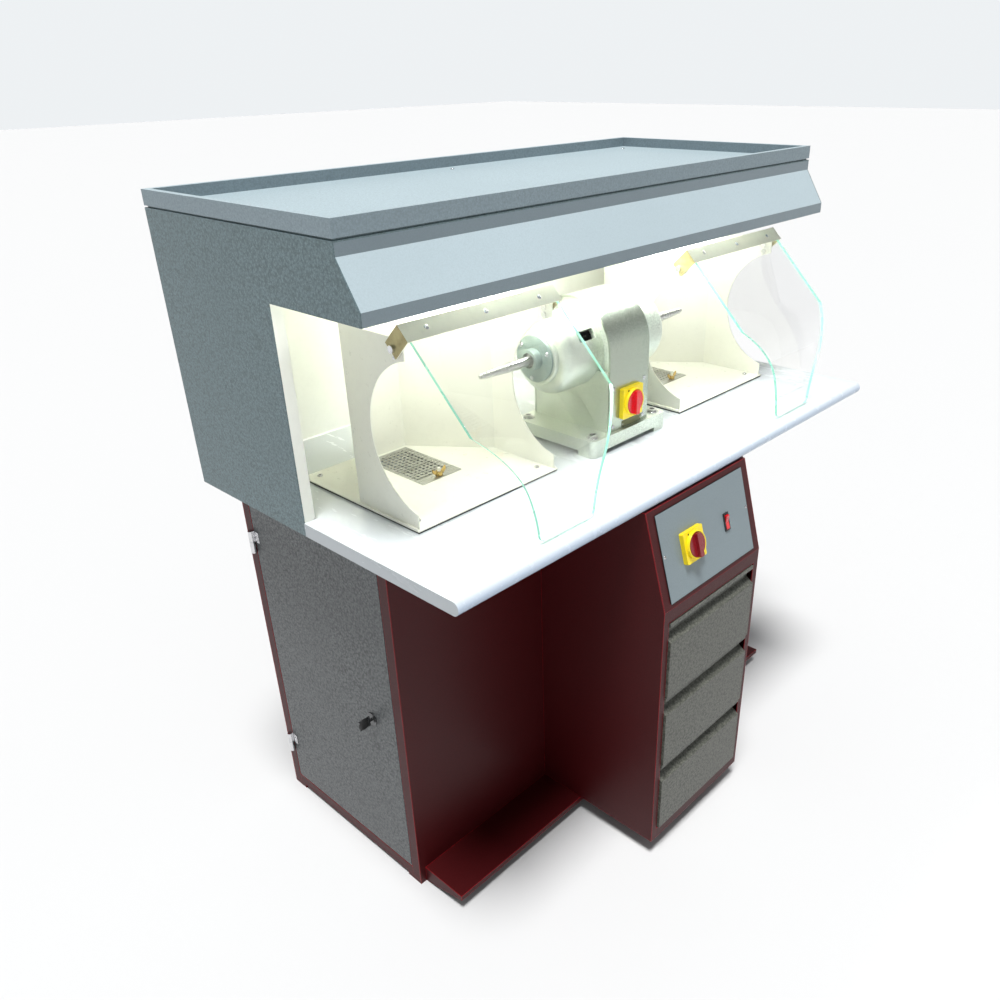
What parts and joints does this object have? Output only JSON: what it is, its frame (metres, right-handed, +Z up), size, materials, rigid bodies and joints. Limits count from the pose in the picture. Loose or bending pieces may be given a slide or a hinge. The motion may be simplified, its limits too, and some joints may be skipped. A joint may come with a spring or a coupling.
{
  "type": "polishing bench",
  "caption": "Free-standing polishing bench: double-ended lathe between two glass-shielded suction booths under a hood with a top tray, a drawer pedestal and a side-door filter cabinet.",
  "frame": {"origin": "middle of the footprint on the floor", "axes": "+Z up, the operator's side faces -Y, +X is the operator's right"},
  "size_m": [1.25, 0.765, 1.3],
  "materials": {
    "hood_paint": "speckled grey-blue powder coat",
    "tray_paint": "fine textured light blue-grey powder coat",
    "cabinet_paint": "burgundy hammered enamel",
    "door_paint": "grey hammered enamel",
    "drawer_paint": "grey hammered enamel",
    "panel_paint": "fine textured grey powder coat",
    "bench_board": "white laminate on board",
    "lining_board": "cream laminate on board",
    "cream_paint": "satin cream enamel",
    "casting_paint": "cast aluminium with fine silver hammered enamel",
    "cover_sheet": "satin silver enamel",
    "steel": "ground steel",
    "zinc": "galvanised sheet",
    "plated": "bright nickel plate",
    "brass_part": "plain brass",
    "clear_glass": "clear, green at the edges",
    "tube_glass": "opal glass",
    "yellow_plastic": "semi-gloss yellow",
    "red_plastic": "semi-gloss red",
    "black_plastic": "black moulded",
    "white_enamel": "white enamel",
    "black_rubber": "black sheet rubber",
    "bag_cloth": "white filter felt",
    "motor_paint": "black enamel"
  },
  "bodies": {
    "bench": {"cabinet_shell": "cabinet_paint", "cabinet_back": "cabinet_paint", "cabinet_hinges": "plated", "foot_plate": "cabinet_paint", "pedestal_shell": "cabinet_paint", "drawer_runners": "zinc", "control_panel": "panel_paint", "main_switch_plate": "yellow_plastic", "rocker_frame": "black_plastic", "worktop": "bench_board", "hood_side_left": "hood_paint", "hood_side_right": "hood_paint", "hood_back": "hood_paint", "hood_lining": "lining_board", "hood_ceiling": "cream_paint", "hood_roof": "hood_paint", "hood_tray": "tray_paint", "hood_fascia": "tray_paint", "lamp_body": "white_enamel", "lamp_tube": "tube_glass", "booth_mats": "black_rubber", "booth_plates": "cream_paint", "booth_shell_left": "cream_paint", "booth_shell_right": "cream_paint", "booth_grids": "steel", "shield_pins": "plated", "lathe_housing": "casting_paint", "lathe_cover": "cover_sheet", "lathe_bells": "casting_paint", "lathe_flanges": "casting_paint", "lathe_bearings": "steel", "lathe_stator": "steel", "lathe_bolts": "steel", "lathe_switch_plate": "yellow_plastic", "air_chest": "zinc", "filter_bag": "bag_cloth", "fan_housing": "zinc", "fan_motor": "motor_paint", "cable_gland": "black_plastic"},
    "lathe_rotor": {"lathe_spindle": "steel"},
    "fan_wheel": {"fan_impeller": "zinc"},
    "side_door": {"door_panel": "door_paint", "door_hinges": "plated", "door_lock": "plated"},
    "key": {"lock_key": "plated"},
    "drawer_low": {"drawer_tray_low": "zinc", "drawer_front_low": "drawer_paint"},
    "drawer_middle": {"drawer_tray_middle": "zinc", "drawer_front_middle": "drawer_paint"},
    "drawer_top": {"drawer_tray_top": "zinc", "drawer_front_top": "drawer_paint"},
    "shield_left": {"shield_bracket_left": "cream_paint", "shield_glass_left": "clear_glass"},
    "shield_right": {"shield_bracket_right": "cream_paint", "shield_glass_right": "clear_glass"},
    "grid_nut_left": {"wing_nut_left": "brass_part"},
    "grid_nut_right": {"wing_nut_right": "brass_part"},
    "lathe_knob": {"lathe_switch_knob": "red_plastic"},
    "main_knob": {"main_switch_knob": "red_plastic"},
    "rocker": {"rocker_button": "red_plastic"}
  },
  "joints": [
    {"name": "spindle_turn", "type": "hinge", "parent": "bench", "child": "lathe_rotor", "pos_m": [0, -0.041, 0.994], "axis": [1, 0, 0], "continuous": true},
    {"name": "fan_turn", "type": "hinge", "parent": "bench", "child": "fan_wheel", "pos_m": [0.2, 0.15, 0.16], "axis": [1, 0, 0], "continuous": true},
    {"name": "door_swing", "type": "hinge", "parent": "bench", "child": "side_door", "pos_m": [-0.571, 0.348, 0.39], "axis": [0, 0, -1], "range_deg": [0, 110]},
    {"name": "key_turn", "type": "hinge", "parent": "side_door", "child": "key", "pos_m": [-0.565, 0.0185, 0.377], "axis": [1, 0, 0], "range_deg": [0, 90]},
    {"name": "shield_left_tilt", "type": "hinge", "parent": "bench", "child": "shield_left", "pos_m": [-0.3595, -0.102, 1.105], "axis": [-1, 0, 0], "range_deg": [0, 45]},
    {"name": "shield_right_tilt", "type": "hinge", "parent": "bench", "child": "shield_right", "pos_m": [0.3595, -0.102, 1.105], "axis": [-1, 0, 0], "range_deg": [0, 45]},
    {"name": "grid_nut_left_turn", "type": "hinge", "parent": "bench", "child": "grid_nut_left", "pos_m": [-0.3595, 0.0135, 0.82], "axis": [0, 0, 1], "continuous": true},
    {"name": "grid_nut_right_turn", "type": "hinge", "parent": "bench", "child": "grid_nut_right", "pos_m": [0.3595, 0.0135, 0.82], "axis": [0, 0, 1], "continuous": true},
    {"name": "lathe_knob_turn", "type": "hinge", "parent": "bench", "child": "lathe_knob", "pos_m": [0.002, -0.136, 0.893], "axis": [0, 1, 0], "range_deg": [0, 90]},
    {"name": "main_knob_turn", "type": "hinge", "parent": "bench", "child": "main_knob", "pos_m": [-0.087, -0.35387, 0.69197], "axis": [0, 0.9615, -0.2747], "range_deg": [0, 90]},
    {"name": "rocker_tip", "type": "hinge", "parent": "bench", "child": "rocker", "pos_m": [0.031, -0.35339, 0.69183], "axis": [-1, 0, 0], "range_deg": [0, 16]},
    {"name": "drawer_low_slide", "type": "slide", "parent": "bench", "child": "drawer_low", "axis": [0, -1, 0], "range_m": [0, 0.21]},
    {"name": "drawer_middle_slide", "type": "slide", "parent": "bench", "child": "drawer_middle", "axis": [0, -1, 0], "range_m": [0, 0.21]},
    {"name": "drawer_top_slide", "type": "slide", "parent": "bench", "child": "drawer_top", "axis": [0, -1, 0], "range_m": [0, 0.21]}
  ]
}
